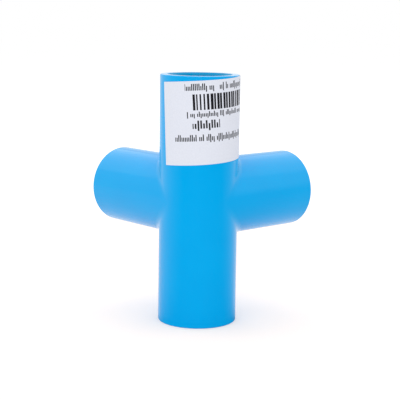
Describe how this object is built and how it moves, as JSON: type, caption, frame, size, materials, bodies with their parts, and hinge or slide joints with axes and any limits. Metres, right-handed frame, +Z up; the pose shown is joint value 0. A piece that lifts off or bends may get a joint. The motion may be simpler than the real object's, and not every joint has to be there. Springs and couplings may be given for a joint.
{
  "type": "four-way pipe fitting",
  "caption": "Blue moulded pipe fitting with a straight run and a pair of branches square to it and to each other; every end is a cement socket, and a paper label is wrapped on the upper one.",
  "frame": {"origin": "middle of the lower rim, on the plane that the fitting stands on", "axes": "+Z up the straight run, +X out along one branch, +Y out along the other; the axes of all sockets cross 44 mm above the origin"},
  "size_m": [0.0581, 0.0581, 0.088],
  "materials": {
    "blue_pvc": "satin",
    "label_paper": "matte"
  },
  "bodies": {
    "root": {"moulded_body": "blue_pvc", "paper_label": "label_paper"}
  },
  "joints": []
}
